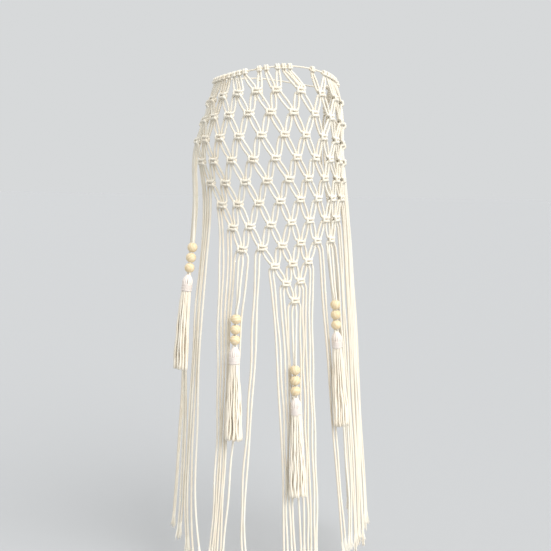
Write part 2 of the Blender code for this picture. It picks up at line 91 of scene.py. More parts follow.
# Net's lay: row, depth of its middle knot, column pitch to the right and to the left as worn, drift
# to the left, climb per column and sag of the sides
NET = (
    (1, 0.048, 0.037, 0.046, -0.038, 0.0005, 0.017),
    (2.5, 0.110, 0.042, 0.043, -0.025, 0.0000, 0.013),
    (4, 0.174, 0.042, 0.040, -0.015, 0.0010, 0.007),
    (6, 0.255, 0.040, 0.039, -0.010, 0.0025, 0.003),
    (8, 0.340, 0.038, 0.036, -0.006, 0.0035, 0.001),
    (11, 0.451, 0.025, 0.024, 0.005, 0.0025, 0.000),
)

# Rows of knots: row, outermost column
ROWS = (
    (1, 6.0),
    (2, 5.5),
    (3, 5.0),
    (4, 4.5),
    (5, 4.0),
    (6, 3.5),
    (7, 3.0),
    (8, 2.5),
    (9, 1.0),
    (10, 0.5),
    (11, 0.0),
)

# Lark's heads: column, and the places along the waist cord of its two heads
HEADS = (
    (-6, -0.2210, -0.2090),
    (-5, -0.1890, -0.1760),
    (-4, -0.1630, -0.1520),
    (-3, -0.1400, -0.1270),
    (-2, -0.1150, -0.1045),
    (-1, -0.0930, -0.0665),
    (0, -0.0535, -0.0330),
    (1, -0.0215, -0.0100),
    (2, 0.0370, 0.0680),
    (3, 0.0790, 0.0890),
    (4, 0.0990, 0.1110),
    (5, 0.1330, 0.1450),
    (6, 0.1780, 0.1900),
)

# Fringe: row and column of its edge knot, hem angle from the front, bow in the upper half of the
# fall, bow in the lower half and how far its two strands fan out at the hem, all in degrees, then
# the hem's height
FRINGE = (
    (1, -6.0, -120.0, 0.0, 0.0, 0.5, -0.985),
    (2, -5.5, -74.5, 12.0, 3.0, 1.8, -0.955),
    (4, -4.5, -64.0, 8.0, -5.2, 0.6, -0.975),
    (5, -4.0, -56.0, 2.0, -5.0, 3.6, -0.990),
    (6, -3.5, -47.8, 7.5, 1.0, 0.0, -0.980),
    (7, -3.0, -44.6, 5.0, 0.0, 0.0, -0.992),
    (8, -2.5, -41.4, 2.0, 0.0, 0.0, -0.985),
    (8, -1.5, -27.4, 3.0, -3.2, 0.0, -0.985),
    (9, -1.0, -6.4, 4.2, 0.3, 0.0, -0.985),
    (10, -0.5, -1.2, 2.4, -1.3, 0.3, -0.990),
    (11, 0.0, 3.4, 0.0, 0.0, 0.0, -0.980),
    (10, 0.5, 6.8, 0.6, 0.4, 0.0, -0.985),
    (9, 1.0, 9.8, 0.5, 1.2, 0.0, -0.990),
    (8, 1.5, 30.6, 1.8, 0.0, 0.8, -0.985),
    (8, 2.5, 35.2, 4.5, 3.0, 0.5, -0.980),
    (7, 3.0, 40.6, 3.2, 2.2, 0.6, -0.985),
    (6, 3.5, 46.0, 2.8, 1.8, 0.4, -0.975),
    (5, 4.0, 51.6, 2.2, 1.2, 0.5, -0.985),
    (4, 4.5, 60.0, 0.7, 0.4, 1.2, -0.960),
    (3, 5.0, 75.0, 0.4, 0.2, 0.8, -0.970),
    (2, 5.5, 91.0, 0.0, 0.0, 0.5, -0.955),
    (1, 6.0, 106.0, 0.0, 0.0, 0.3, -0.980),
)
SECOND_STRAND = 0.006       # how much shorter the second strand of a pair is
STRAND_WAVE = 0.0009        # how far a fringe strand wanders
ROOT_PUSH = 0.0035          # how far a strand swings clear of the net just under its knot
PAIR_TURN = 1.5             # degrees between the two strands of a pair
DRIFT_POWER = 0.9           # under 1, so that a strand drifts round the form early in its fall
UPPER_POWER = 0.6           # under 1, so that the upper bow is widest at a third of the fall
LOWER_POWER = 2.4           # over 1, so that the lower bow is widest at three quarters of it
FAN_POWER = 3.0             # over 1, so that a pair fans out only near the hem
STRAND_TOP = (0.012, 0.03)  # shares of the fall at a strand's first two points
STRAND_BODY = (0.06, 26)    # share at the next point, and points from there to the brush
STRAND_WAVES = (2, 5)       # fewest and most waves of a strand's wander
SWING_SHARE = 0.6           # wander outwards over the wander sideways
SETTLES_IN = 0.02           # share of the fall in which a strand comes to the cords' lift
WANDERS_FROM = 0.15         # share by which its wander has grown to the full
PUSHED_FROM = 0.015         # share by which its swing clear of the net has

# Brush: the yarns of a strand's frayed end
BRUSH = 0.035
BRUSH_YARNS = 11
BRUSH_POINTS = 8            # along a yarn
BRUSH_SPIRAL = 0.382        # of a turn from one yarn to the next
BRUSH_JITTER = 0.05         # of a turn
BRUSH_FOOT = 0.72           # the yarns start inside this share of the cord's radius
BRUSH_ROOT = 0.003          # how far up inside the cord they start
BRUSH_OPENS = (1.8, 4.4)    # distance of a yarn's tip from the middle over that of its foot
BRUSH_ASIDE = (0.2, 1.0, 0.0)    # a direction that no strand ends along
BRUSH_LENGTHS = (0.80, 1.02)     # shares of the brush's length that its yarns fall
BRUSH_TWIST = 0.9           # radians that a yarn may wind round the brush
BRUSH_WAVER = 0.0005
BRUSH_WAVES = (5, 11)       # radians of that waver along a yarn
BRUSH_PAINTED_SHADE = 0.15         # painted shade over the whole of each yarn, as a share of a groove's
YARN = 0.00086
YARN_THINS = 0.00022        # how much thinner a yarn is at its tip

# Drops: name, row and column of its knot, angle from the front and height of the first bead's
# middle, angle and height of the skirt's end
DROPS = (
    ("right_side", 3, -5.0, -73.0, -0.352, -72.5, -0.592),
    ("right_front", 8, -2.5, -33.1, -0.485, -33.6, -0.718),
    ("centre", 11, 0.0, 0.4, -0.585, -0.2, -0.830),
    ("left_front", 8, 2.5, 28.3, -0.461, 28.4, -0.703),
)
DROP_LIFT = 0.0165          # how far the first bead's middle stands off the hollow form
DROP_LEAN = 0.0035          # how much further the skirt's end stands off it
DROP_WAY = (0.12, 0.28, 0.46, 0.64, 0.82)     # a drop's cords from their knot to above the beads
DROP_MEET = 0.006           # where that way ends, above the first bead
DROP_TURN = 55.0            # degrees that the two cords turn round each other on it
DROP_APART = 0.0021         # from the drop's middle line to each cord's
SEAM = 0.0003               # between two beads

# Beads
BEAD = 0.0200
BEAD_HOLE = 0.0088
BEAD_EASE = (0.0006, 0.0005)     # how far the rims are eased, outwards and down the hole
BEAD_ARC = 19               # points of the profile from rim to rim
BEAD_WALL = 5               # points down the hole
BEAD_SIDES = 36
BEAD_SHARP = 40             # degrees between two faces past which their edge is a sharp one
GRAIN_SHIFT = 0.02          # how far a bead's place in the wood is shifted each way at most

# Two cords of a drop in its beads and in the tassel's head: length below the first bead's middle, half
# the distance between them in millimetres, and how far the pair is turned in degrees
HEAD_TOP = 2 * (BEAD + SEAM) + BEAD / 2
DROP_CORD = (
    (-BEAD / 2 - 0.004, 1.85, 55),
    (0.0, 1.8, 50),
    (BEAD, 1.8, 40),
    (2 * BEAD, 1.8, 30),
    (HEAD_TOP - 0.003, 2.0, 12),
    (HEAD_TOP + 0.003, 3.2, 0),
    (HEAD_TOP + 0.008, 4.0, 0),
    (HEAD_TOP + 0.016, 4.4, 0),
)

# Tassels
HEAD_LENGTH = 0.036
DOME_STRANDS = 15
DOME_STRAND = 0.0019
DOME_JITTER = 0.2           # of the step from one strand to the next
DOME_TONE = 0.3             # tone of its lightest strand, and how far the others go past it
DOME = (                    # down from the head's top, radius of its strands' middles
    (0.0035, 0.0022),
    (0.0070, 0.0044),
    (0.0105, 0.0066),
    (0.0150, 0.0084),
    (0.0195, 0.0088),
    (0.0240, 0.0078),
    (0.0370, 0.0078),
)
WRAP = (0.0225, 0.0358, 7)     # where the binding starts and ends, and its turns
WRAP_THREAD = 0.0010
WRAP_POINTS = 34            # to a turn
WRAP_REACH = 0.0098         # from the head's middle to the thread's
WRAP_WAVER = (0.0002, 0.37)     # how far it wavers, and the waver's turns in a turn of the thread
WRAP_RUN = 0.01             # length of thread to a radian, for its UV map
# painted shade over the whole binding thread, as a share of a groove's
WRAP_PAINTED_SHADE = 0.1
WRAP_TONE = 0.2
SKIRT_RINGS = ((19, 0.93), (13, 0.66), (7, 0.36), (2, 0.10))    # strands, and how far out
SKIRT_JITTER = 0.35         # of the step from one strand to the next
SKIRT_FLAT = 0.68           # depth of the skirt's end over its width
SKIRT_WAVE = 0.0011         # how far a strand of the skirt wanders
SKIRT_WAVES = (1.4, 3.4)    # fewest and most waves of that wander
SKIRT_START = 0.0083        # reach of the outer strands where they come out of the head
SKIRT_END = 0.0170          # and at the skirt's end
SKIRT_POWER = 1.6           # over 1, so that the skirt opens early
SKIRT_REACHES = (0.96, 1.04)     # shares of its ring's reach that a strand keeps to
SKIRT_TWIST = 0.34          # radians that a strand may wind round the skirt
SKIRT_ROOT = 0.006          # how far up inside the head a strand starts
SKIRT_PAST = 0.004          # how far the longest strand goes past the skirt's end
SKIRT_LENGTHS = (0.98, 1.0)      # shares of the full length that the strands fall
SKIRT_POINTS = 25           # along a strand
SKIRT_STRAND = 0.00132
SKIRT_THICKENS = 0.00062    # how much thicker a strand is at its end
SKIRT_UNEVEN = 0.05         # share by which its thickness comes and goes
# painted shade over the whole of each skirt strand, as a share of a groove's
SKIRT_PAINTED_SHADE = 0.1

# Square knot, in millimetres: across, up, out. The first working cord lies over the cores twice,
# the second one behind them, and each goes under the other at the sides.
OVER_CORD = (
    (-9.3, 6.6, 0.4),
    (-8.7, 5.2, 1.0),
    (-6.5, 3.9, 2.4),
    (-3.3, 3.15, 4.0),
    (0.0, 3.1, 4.5),
    (3.2, 3.1, 4.0),
    (6.0, 3.2, 2.0),
    (8.1, 2.1, 0.3),
    (8.8, 0.0, -0.3),
    (8.1, -2.1, 0.3),
    (6.0, -3.2, 2.0),
    (3.2, -3.1, 4.0),
    (0.0, -3.1, 4.5),
    (-3.3, -3.15, 4.0),
    (-6.5, -3.9, 2.4),
    (-8.7, -5.2, 1.0),
    (-9.3, -6.6, 0.4),
)
UNDER_CORD = (
    (9.3, 6.2, 0.6),
    (8.3, 4.7, 2.0),
    (6.7, 3.3, 4.0),
    (5.6, 1.3, 3.4),
    (5.3, 0.4, 0.2),
    (4.4, 0.9, -2.4),
    (2.2, 1.8, -3.8),
    (0.0, 2.6, -3.9),
    (-2.8, 3.6, -3.4),
    (-5.2, 4.9, -1.6),
    (-6.2, 5.2, 1.2),
    (-6.2, 3.8, 4.0),
    (-6.2, 1.8, 5.0),
    (-6.2, 0.0, 5.1),
    (-6.2, -1.8, 5.0),
    (-6.2, -3.8, 4.0),
    (-6.2, -5.2, 1.2),
    (-5.2, -4.9, -1.6),
    (-2.8, -3.6, -3.4),
    (0.0, -2.6, -3.9),
    (2.2, -1.8, -3.8),
    (4.4, -0.9, -2.4),
    (5.3, -0.4, 0.2),
    (5.6, -1.3, 3.4),
    (6.7, -3.3, 4.0),
    (8.3, -4.7, 2.0),
    (9.3, -6.2, 0.6),
)
CORE_CORD = (
    (-2.4, 9.0, 0.2),
    (-2.1, 6.2, 0.3),
    (-2.2, 0.0, 1.4),
    (-2.1, -6.2, 0.3),
    (-2.4, -9.0, 0.2),
)

# Lark's head, in millimetres, from the middle of its bar round the waist cord to its left leg
HEAD_CORD = (
    (0.0, -4.9, 4.5),
    (-1.8, -4.9, 4.3),
    (-3.4, -4.3, 2.6),
    (-3.9, -2.4, -0.6),
    (-3.6, 0.4, -3.2),
    (-2.9, 2.9, -2.5),
    (-2.3, 3.8, 0.4),
    (-1.95, 2.3, 3.0),
    (-1.9, -0.4, 3.6),
    (-1.9, -3.0, 2.3),
    (-1.95, -5.4, 0.8),
    (-2.1, -8.4, 0.2),
)

# Tie at the back, in millimetres: the end that comes from the left as seen from behind
TIE_CORD = (
    (-14.0, 0.0, 0.0),
    (-8.0, 0.4, 0.9),
    (-3.4, 1.8, 2.2),
    (0.6, 2.9, 1.7),
    (3.6, 1.4, -0.6),
    (2.9, -1.6, -2.0),
    (0.0, -2.9, -1.7),
    (-2.4, -4.6, 0.4),
    (-4.0, -9.0, 1.3),
    (-5.4, -22.0, 0.8),
    (-6.6, -36.0, 1.0),
    (-8.0, -47.0, 0.8),
)


def read(table, at, column):
    """Values of a table's column, on the cubic through its rows with the rows' own slopes."""
    rows = np.array(table)
    stations, values = rows[:, 0], rows[:, column]
    slopes = np.gradient(values, stations)
    at = np.clip(at, stations[0], stations[-1])
    k = np.clip(np.searchsorted(stations, at, side="right") - 1, 0, len(stations) - 2)
    span = stations[k + 1] - stations[k]
    t = (at - stations[k]) / span
    rise = (2 * t**3 - 3 * t**2 + 1) * values[k] + (3 * t**2 - 2 * t**3) * values[k + 1]
    bend = (t**3 - 2 * t**2 + t) * slopes[k] + (t**3 - t**2) * slopes[k + 1]
    return rise + span * bend


def on_form(angle, height, lift=LIFT):
    """Points off the form: the section's ellipse at that height, widened by lift, at that angle."""
    angle, height, lift = np.broadcast_arrays(*(np.asarray(x, float) for x in (angle, height, lift)))
    half_width, half_depth, back, shift = (read(FORM, -height, column) for column in (1, 2, 3, 4))
    return np.stack((
        shift + (half_width + lift) * np.sin(angle),
        back - (half_depth + lift) * np.cos(angle),
        height,
    ), axis=-1)


def unit(vectors):
    return vectors / np.linalg.norm(vectors, axis=-1, keepdims=True)


def frame_on(angle, height, lift=LIFT):
    """Points off the form with their directions across, up and out."""
    step = 1e-4
    point = on_form(angle, height, lift)
    across = unit(on_form(angle + step, height, lift) - point)
    up = on_form(angle, height + step, lift) - point
    up = unit(up - across * (up * across).sum(-1, keepdims=True))
    return point, across, up, np.cross(across, up)


def near_form(points):
    """Angles of points round the form, and how far they stand off it."""
    height = points[..., 2]
    half_width, half_depth, back, shift = (read(FORM, -height, column) for column in (1, 2, 3, 4))
    angle = np.arctan2(
        (points[..., 0] - shift) / (half_width + LIFT),
        (back - points[..., 1]) / (half_depth + LIFT),
    )
    point, _, _, out = frame_on(angle, height)
    return angle, LIFT + ((points - point) * out).sum(-1)


def angle_at(run, height):
    """Angle at a length along the form's section, counted from the front."""
    half_width, half_depth = read(FORM, -height, 1), read(FORM, -height, 2)
    angles = np.linspace(-math.pi, math.pi, SECTION_POINTS)
    steps = np.hypot(np.diff(half_width * np.sin(angles)), np.diff(half_depth * np.cos(angles)))
    lengths = np.concatenate(([0.0], np.cumsum(steps)))
    return float(np.interp(run, lengths - lengths[SECTION_POINTS // 2], angles))


def knot_lay(row, column):
    """Angle and height of a knot's middle: a row sags by the square of the column and rises and falls
    by a cosine, and an edge knot is drawn in."""
    depth, right_pitch, left_pitch, drift, climb, sag = (float(read(NET, row, k)) for k in range(1, 7))
    run = drift + column * (right_pitch if column < 0 else left_pitch)
    if row in DRAWN_ROWS and abs(column) == dict(ROWS)[row]:
        run -= math.copysign(EDGE_DRAW, column)
    wave = ROW_WAVE * math.cos(math.tau * (column - WAVE_CREST) / WAVE_LENGTH)
    height = -depth + climb * column - sag * (column / SAG_COLUMN) ** 2 + wave
    return angle_at(run, height), height


def waist_line(angle):
    """Middle of the waist cord, which dips by the square of the sine at the sides."""
    return on_form(angle, -WAIST_DIP * np.sin(angle) ** 2)


def waist_frame(angle):
    """Point on the waist cord with its directions along, up and out."""
    step = 1e-3
    point = waist_line(angle)
    along = unit(waist_line(angle + step) - point)
    out = frame_on(angle, point[2])[3]
    out = unit(out - along * np.dot(out, along))
    return point, along, np.cross(out, along), out


def placed(local, point, across, up, out, size=1.0, tilt=0.0):
    """Local millimetres, turned by tilt and scaled, put at a point with its directions."""
    x, y, z = np.array(local).T * MM * size
    turn = math.radians(tilt)
    x, y = x * math.cos(turn) - y * math.sin(turn), x * math.sin(turn) + y * math.cos(turn)
    return point + np.outer(x, across) + np.outer(y, up) + np.outer(z, out)


KNOTS = {}
for knot_row, outermost in ROWS:
    for knot_column in np.arange(-outermost, outermost + 1):
        KNOTS[(knot_row, float(knot_column))] = (rng.uniform(*KNOT_SIZES), rng.uniform(-1, 1) * KNOT_TILT)


def through_knot(row, column, cell):
    """Way of the cord that comes in at a cell of a square knot: cells 0 and 3 are the working cords."""
    mirror = np.array((-1.0, 1.0, 1.0))
    local = (
        np.array(OVER_CORD),
        np.array(CORE_CORD),
        np.array(CORE_CORD) * mirror,
        np.array(UNDER_CORD),
    )[cell]
    size, tilt = KNOTS[(row, column)]
    point, across, up, out = frame_on(*knot_lay(row, column))
    return placed(local, point, across, up, out, size, tilt)


def between(start, end, way):
    """Three points of a cord on its way over the form, bowed sideways by a half sine."""
    t = np.array((0.25, 0.5, 0.75))
    angles, lifts = near_form(np.array((start, end)))
    height = start[2] + (end[2] - start[2]) * t
    angle = angles[0] + (angles[1] - angles[0]) * t
    point, _, _, out = frame_on(angle, height, lifts[0] + (lifts[1] - lifts[0]) * t)
    sideways = unit(np.cross(out, end - start))
    return point + sideways * (way * PAIR_BOW * np.sin(math.pi * t))[:, None]


def follow(column, places, head, leg):
    """Points of a cord from its lark's head to its last knot, with that knot and the cell it leaves by."""
    point, along, up, out = waist_frame(angle_at(places[head], 0.0))
    local = np.array(HEAD_CORD) * ((-1.0 if leg else 1.0), 1.0, 1.0)
    points, middles = [placed(local, point, along, up, out)], []
    row, cell = 1, 2 * head + leg
    while True:
        knot = through_knot(row, column, cell)
        points += [between(points[-1][-1], knot[0], 1 if cell % 2 else -1), knot]
        middles.append(on_form(*knot_lay(row, column)))
        below = (row + 1, column + (-0.5 if cell < 2 else 0.5))
        if below not in KNOTS:
            return np.concatenate(points), np.array(middles), (row, column), cell
        row, column = below
        cell = cell + 2 if cell < 2 else cell - 2


def strand(start, lay, order, way):
    """Points of a fringe strand: the angle goes from its knot's to the hem's by a power of the fall,
    with half sines of other powers of it for the two bows. Two slow waves make it wander."""
    _, _, hem_angle, upper, lower, fan, hem_height = lay
    angles, lifts = near_form(start[None])
    fall = start[2] - hem_height - SECOND_STRAND * order
    side = order - 0.5
    body_start, body_points = STRAND_BODY
    t = np.concatenate((STRAND_TOP, np.linspace(body_start, 1 - BRUSH / fall, body_points)))
    bow = upper * np.sin(math.pi * t**UPPER_POWER) + lower * np.sin(math.pi * t**LOWER_POWER)
    drift = math.radians(hem_angle + side * PAIR_TURN) - angles[0]
    angle = angles[0] + drift * t**DRIFT_POWER + np.radians(bow + side * fan * t**FAN_POWER)
    lift = LIFT + (lifts[0] - LIFT) * np.exp(-t / SETTLES_IN)
    point, across, _, out = frame_on(angle, start[2] - fall * t, lift)
    grow = np.clip(t / WANDERS_FROM, 0, 1)
    sway, swing = (
        STRAND_WAVE * grow * np.sin(math.tau * (rng.uniform(*STRAND_WAVES) * t + rng.random()))
        for _ in range(2)
    )
    push = way * ROOT_PUSH * (1 - t) * np.clip(t / PUSHED_FROM, 0, 1)
    return point + across * (sway + push)[:, None] + out * swing[:, None] * SWING_SHARE


def drop_frame(drop, down):
    """Points on a drop's axis, a length below its first bead's middle, with their directions."""
    _, _, _, angle, first, end_angle, end_height = drop
    t = down / (first - end_height)
    return frame_on(np.radians(angle + (end_angle - angle) * t), first - down, DROP_LIFT + DROP_LEAN * t)


def drop_cord(start, drop, side):
    """Points of one cord of a drop: beside its fellow down to the beads, through their holes, and
    apart again where it goes into the tassel's head."""
    top = drop_frame(drop, np.array(-BEAD / 2 - DROP_MEET))[0]
    t = np.array(DROP_WAY)
    angles, lifts = near_form(np.array((start, top)))
    height = start[2] + (top[2] - start[2]) * t
    angle = angles[0] + (angles[1] - angles[0]) * t
    point, across, _, out = frame_on(angle, height, lifts[0] + (lifts[1] - lifts[0]) * t)
    turn = math.radians(DROP_TURN) * t
    beside = DROP_APART * side
    upper = point + across * (beside * np.cos(turn))[:, None] + out * (beside * np.sin(turn))[:, None]
    down, apart, turn = np.array(DROP_CORD).T
    apart, turn = apart * MM * side, np.radians(turn)
    point, across, _, out = drop_frame(drop, down)
    lower = point + across * (apart * np.cos(turn))[:, None] + out * (apart * np.sin(turn))[:, None]
    return np.concatenate((upper, lower))


def curve_through(points, per=12):
    """Smooth line: between neighbours, the cubic whose end slopes are those of the root of the chords."""
    gaps = np.sqrt(np.linalg.norm(np.diff(points, axis=0), axis=1))
    places = np.concatenate(([0.0], np.cumsum(gaps)))
    slopes = np.gradient(points, places, axis=0)
    s = (np.arange(per) / per)[None, :, None]
    span = gaps[:, None, None]
    line = (
        (2 * s**3 - 3 * s**2 + 1) * points[:-1, None]
        + (3 * s**2 - 2 * s**3) * points[1:, None]
        + span * ((s**3 - 2 * s**2 + s) * slopes[:-1, None] + (s**3 - s**2) * slopes[1:, None])
    )
    return np.concatenate((line.reshape(-1, 3), points[-1:]))


def evenly(line, step):
    """The line again, with points a step apart, and the length up to each."""
    along = np.concatenate(([0.0], np.cumsum(np.linalg.norm(np.diff(line, axis=0), axis=1))))
    at = np.linspace(0.0, along[-1], max(3, round(along[-1] / step) + 1))
    return np.stack([np.interp(at, along, line[:, k]) for k in range(3)], axis=1), at


def directions(lines):
    """Two directions square to each line at each station, carried along with the least turning:
    each is mirrored in the chord's middle plane, then in the plane between the tangents."""
    ahead = unit(np.gradient(lines, axis=1))
    first = np.cross(ahead[:, 0], ASKEW)
    carried = [unit(first)]
    for k in range(lines.shape[1] - 1):
        chord = lines[:, k + 1] - lines[:, k]
        size = np.maximum((chord * chord).sum(1, keepdims=True), TINY)
        turned = carried[-1] - 2 * (chord * carried[-1]).sum(1, keepdims=True) / size * chord
        along = ahead[:, k] - 2 * (chord * ahead[:, k]).sum(1, keepdims=True) / size * chord
        bend = ahead[:, k + 1] - along
        size = np.maximum((bend * bend).sum(1, keepdims=True), TINY)
        carried.append(turned - 2 * (bend * turned).sum(1, keepdims=True) / size * bend)
    normal = np.stack(carried, axis=1)
    normal = unit(normal - ahead * (normal * ahead).sum(-1, keepdims=True))
    return normal, np.cross(ahead, normal)


def tube_faces(stations, sides):
    """Quads of a tube whose two ends are closed by strips, and the way round and station of the quads'
    corners."""
    i, j = np.meshgrid(np.arange(stations - 1), np.arange(sides), indexing="ij")
    after = (j + 1) % sides
    here, above = i * sides, (i + 1) * sides
    wall = np.stack((here + j, here + after, above + after, above + j), axis=-1)
    round_it = np.stack((j, j + 1, j + 1, j), axis=-1)
    station = np.stack((i, i, i + 1, i + 1), axis=-1)
    k = np.arange(sides // 2 - 1)
    cap = np.stack(((-k) % sides, k + 1, k + 2, (-k - 1) % sides), axis=-1)
    last = (stations - 1) * sides
    quads = np.concatenate((wall.reshape(-1, 4), cap[:, ::-1], cap + last))
    around = np.concatenate((round_it.reshape(-1, 4), cap[:, ::-1], cap)) / sides
    where = np.concatenate((station.reshape(-1, 4), cap * 0, cap * 0 + stations - 1))
    return quads, around, where


class Strands:
    """Tubes gathered into one mesh, with a UV map of the way round and the length, and with the painted
    shade of the grooves between the yarns and each tube's tone as attributes."""

    def __init__(self):
        self.points, self.quads, self.uvs, self.grooves, self.tones = [], [], [], [], []
        self.count = 0

    def add(self, rings, along, groove, tone=PLAIN_TONE):
        """One tube: rings of points, the length at each, and how much painted shade each point of a ring
        gets, as a share of a groove's.
        """
        stations, sides = rings.shape[:2]
        quads, around, where = tube_faces(stations, sides)
        self.points.append(rings.reshape(-1, 3))
        self.quads.append(quads + self.count)
        self.uvs.append(np.stack((around, np.asarray(along)[where] * UV_LENGTH), axis=-1).reshape(-1, 2))
        self.grooves.append(np.broadcast_to(groove, (stations, sides)).ravel())
        self.tones.append(np.full(stations * sides, tone))
        self.count += stations * sides

    def finish(self, name, material):
        points, quads = np.concatenate(self.points), np.concatenate(self.quads)
        mesh = bpy.data.meshes.new(name)
        mesh.vertices.add(len(points))
        mesh.vertices.foreach_set("co", points.astype(np.float32).ravel())
        mesh.loops.add(quads.size)
        mesh.loops.foreach_set("vertex_index", quads.astype(np.int32).ravel())
        mesh.polygons.add(len(quads))
        mesh.polygons.foreach_set("loop_start", np.arange(0, quads.size, 4, dtype=np.int32))
        mesh.update(calc_edges=True)
        mesh.validate()
        mesh.shade_smooth()
        uv_map = mesh.uv_layers.new(name="lay")
        uv_map.data.foreach_set("uv", np.concatenate(self.uvs).astype(np.float32).ravel())
        # the first attribute is painted shade, which the cotton materials darken towards their shade colour
        for attribute, values in (("groove", self.grooves), ("tone", self.tones)):
            layer = mesh.attributes.new(attribute, "FLOAT", "POINT")
            layer.data.foreach_set("value", np.concatenate(values).astype(np.float32))
        mesh.materials.append(material)
        thing = bpy.data.objects.new(name, mesh)
        bpy.context.scene.collection.objects.link(thing)
        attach(thing, "root")
        return thing


def laid_rings(line, normal, beside, along, radius):
    """Rings of a laid cord: two points a yarn, at its crest and in the groove, which turn by the length
    over the lay."""
    sides = 2 * PLIES
    turn = math.tau * (np.arange(sides)[None, :] / sides + along[:, None] / LAY)
    section = np.where(np.arange(sides) % 2, GROOVE, 1.0)
    reach = section[None, :] * np.broadcast_to(radius, along.shape)[:, None]
    return (
        line[:, None]
        + normal[:, None] * (reach * np.cos(turn))[..., None]
        + beside[:, None] * (reach * np.sin(turn))[..., None]
    )


def plain_rings(line, radius, uneven=0.0):
    """Rings of a thread with a round section, thicker and thinner by a sine of the ring's number."""
    normal, beside = (x[0] for x in directions(line[None]))
    turn = math.tau * np.arange(THREAD_SIDES) / THREAD_SIDES
    swell = np.sin(np.arange(len(line)) * THREAD_SWELL + rng.random() * START_PHASE)
    reach = np.broadcast_to(radius, len(line)) * (1 + uneven * swell)
    return (
        line[:, None]
        + normal[:, None] * (reach[:, None] * np.cos(turn))[..., None]
        + beside[:, None] * (reach[:, None] * np.sin(turn))[..., None]
    )


# painted shade mask of a laid cord: 1 at the points in the grooves between the yarns, 0 at the crests
LAID_GROOVE_SHADE = np.arange(2 * PLIES) % 2


def laid_cord(strands, points, radius=CORD_RADIUS, tone=PLAIN_TONE, cut=None, knots=None):
    """One cord through its points, fuller by a bell curve near the middles of its knots. With cut, what
    comes after the point of that number goes into the second strands."""
    line, along = evenly(curve_through(points), STATION)
    normal, beside = (x[0] for x in directions(line[None]))
    if knots is not None:
        near = np.linalg.norm(line[:, None] - knots[None], axis=-1).min(axis=1)
        radius = radius * (1 + KNOT_SWELL * np.exp(-(near / KNOT_REACH) ** 2))
    rings = laid_rings(line, normal, beside, along, radius)
    if cut is None:
        strands.add(rings, along, LAID_GROOVE_SHADE, tone)
        return line
    here = int(np.linalg.norm(line - points[cut], axis=1).argmin())
    strands[0].add(rings[:here + 1], along[:here + 1], LAID_GROOVE_SHADE, tone)
    strands[1].add(rings[here:], along[here:], LAID_GROOVE_SHADE, tone)
    return line


def fray(strands, line, length, tone):
    """Brush of a strand's end: its yarns start inside the cord and open by the square of the way down."""
    foot, ahead = line[-1], unit(line[-1] - line[-6])
    across = unit(np.cross(ahead, BRUSH_ASIDE))
    out = np.cross(ahead, across)
    t = np.linspace(0.0, 1.0, BRUSH_POINTS)
    for k in range(BRUSH_YARNS):
        turn = math.tau * (k * BRUSH_SPIRAL + BRUSH_JITTER * rng.random())
        start = CORD_RADIUS * BRUSH_FOOT * math.sqrt((k + 0.5) / BRUSH_YARNS)
        end = start * rng.uniform(*BRUSH_OPENS)
        fall = length * rng.uniform(*BRUSH_LENGTHS)
        reach = start + (end - start) * t**2
        turns = turn + rng.uniform(-BRUSH_TWIST, BRUSH_TWIST) * t
        yarn = (
            foot
            + np.outer(fall * t - BRUSH_ROOT, ahead)
            + np.outer(reach * np.cos(turns), across)
            + np.outer(reach * np.sin(turns), out)
        )
        waver = np.sin(t * rng.uniform(*BRUSH_WAVES) + rng.random() * START_PHASE)
        yarn += across * (BRUSH_WAVER * waver * t)[:, None]
        strands.add(plain_rings(yarn, YARN - YARN_THINS * t), t * length, BRUSH_PAINTED_SHADE, tone)


# Materials


def linear(hex_colour):
    """sRGB hex to linear light, by the standard's two-part curve."""
    values = [int(hex_colour[k:k + 2], 16) / 255 for k in (1, 3, 5)]
    return [v / 12.92 if v <= 0.04045 else ((v + 0.055) / 1.055) ** 2.4 for v in values] + [1.0]


def add_node(tree, kind, settings=None, links=None):
    """A node of a tree with its settings, and with links into its inputs."""
    node = tree.nodes.new(kind)
    for key, value in (settings or {}).items():
        if isinstance(key, str) and hasattr(node, key):
            setattr(node, key, value)
        else:
            node.inputs[key].default_value = value
    for key, output in (links or {}).items():
        tree.links.new(output, node.inputs[key])
    return node


def new_material(name):
    material = bpy.data.materials.new(name)
    material.use_nodes = True
    tree = material.node_tree
    shader = tree.nodes["Principled BSDF"]
    return material, tree, shader


GROOVE_SHADE = 0.55         # painted shade: how far a groove goes from the crest's colour to the shade colour
FIBRE_SHADE = 0.35          # how far the fibres go that way
FIBRES_ALONG = 3.0          # in a centimetre, so that a fibre is about 3 mm long
PATCHES = 38.0              # in a metre, so that a patch is about 26 mm wide
WOOD_RINGS = 62.0           # wave scale at which the growth lines lie 5 mm apart
WOOD_FLECKS = (2600.0, 320.0, 2600.0)     # in a metre, so that a fleck is 0.4 mm wide and 3 mm long


